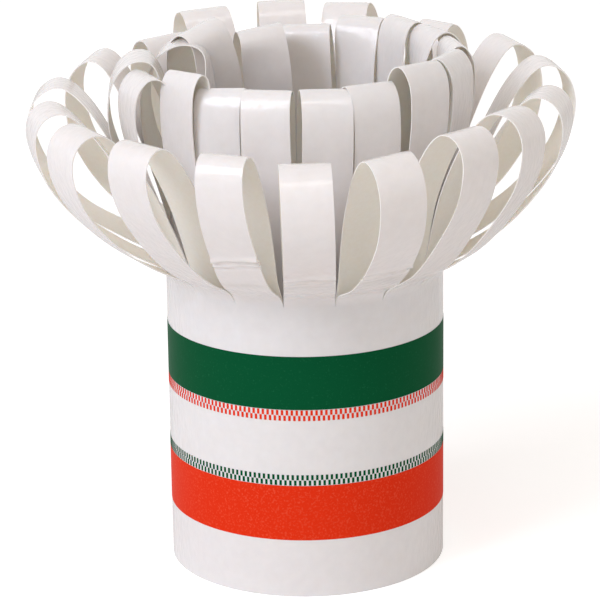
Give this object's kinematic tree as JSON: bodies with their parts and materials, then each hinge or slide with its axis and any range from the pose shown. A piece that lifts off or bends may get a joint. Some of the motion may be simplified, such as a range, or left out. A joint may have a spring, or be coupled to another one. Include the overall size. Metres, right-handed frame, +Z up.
{
  "type": "paper frill",
  "caption": "Two-turn paper frill: a printed sleeve that slips over a bone or stick end, with a crown of curled paper loops on top.",
  "frame": {"origin": "on the sleeve's axis, in the plane of its foot", "axes": "+Z up the sleeve to the loops, -Y towards the picture's viewer, +X to the viewer's right"},
  "size_m": [0.0589, 0.0587, 0.0581],
  "materials": {
    "paper": "gloss coated outside, matt inside",
    "red_ink": "semi-gloss print",
    "green_check_ink": "semi-gloss print",
    "red_check_ink": "semi-gloss print",
    "green_ink": "semi-gloss print"
  },
  "bodies": {
    "root": {"paper_frill": "paper", "red_band": "red_ink", "green_check_line": "green_check_ink", "red_check_line": "red_check_ink", "green_band": "green_ink"}
  },
  "joints": []
}
